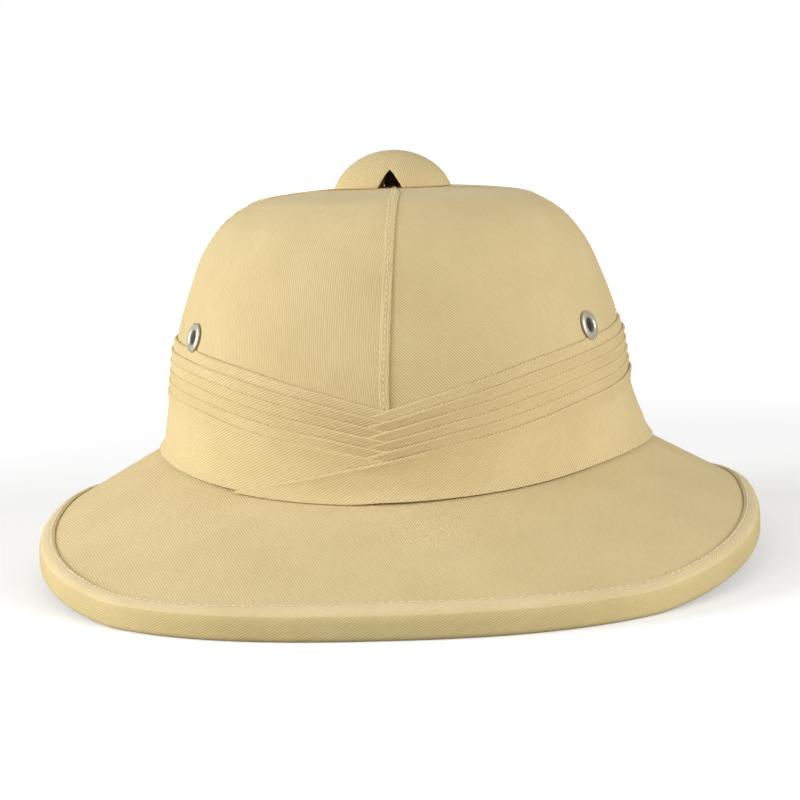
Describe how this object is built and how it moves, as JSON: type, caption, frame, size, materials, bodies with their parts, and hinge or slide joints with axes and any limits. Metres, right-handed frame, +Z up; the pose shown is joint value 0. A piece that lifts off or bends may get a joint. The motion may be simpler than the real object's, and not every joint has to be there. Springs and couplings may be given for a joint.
{
  "type": "pith helmet",
  "caption": "Stiff sun helmet with a domed crown, wide sloping bound brim, pleated cloth band, side vent eyelets and a domed vent cap on top.",
  "frame": {"origin": "centre of the brim's length and width, on the surface that the brim rests on", "axes": "+Z up, -Y the front of the hat, +X to the right as seen from the front"},
  "size_m": [0.281, 0.356, 0.1587],
  "materials": {
    "crown_cloth": "matt cotton twill, fine diagonal wale",
    "brim_cloth": "matt cotton twill, fine diagonal wale",
    "binding_cloth": "matt cotton twill, cut on the bias and stitched",
    "pugaree_cloth": "matt cotton twill, pleated",
    "button_cloth": "matt cotton twill over a stiff dome",
    "board": "moulded pith board, matt",
    "eyelet_metal": "nickel plate, softly polished",
    "steel": "plain"
  },
  "bodies": {
    "root": {"crown_shell": "board", "brim_shell": "board", "crown_panel_front_left": "crown_cloth", "crown_panel_front_right": "crown_cloth", "crown_panel_rear_left": "crown_cloth", "crown_panel_rear_right": "crown_cloth", "brim_cover": "brim_cloth", "brim_binding": "binding_cloth", "pugaree_fold_1": "pugaree_cloth", "pugaree_fold_2": "pugaree_cloth", "pugaree_fold_3": "pugaree_cloth", "pugaree_fold_4": "pugaree_cloth", "pugaree_fold_5": "pugaree_cloth", "pugaree_band": "pugaree_cloth", "top_button": "button_cloth", "button_post": "steel", "eyelet_front_left": "eyelet_metal", "eyelet_front_right": "eyelet_metal", "eyelet_rear_left": "eyelet_metal", "eyelet_rear_right": "eyelet_metal"}
  },
  "joints": []
}
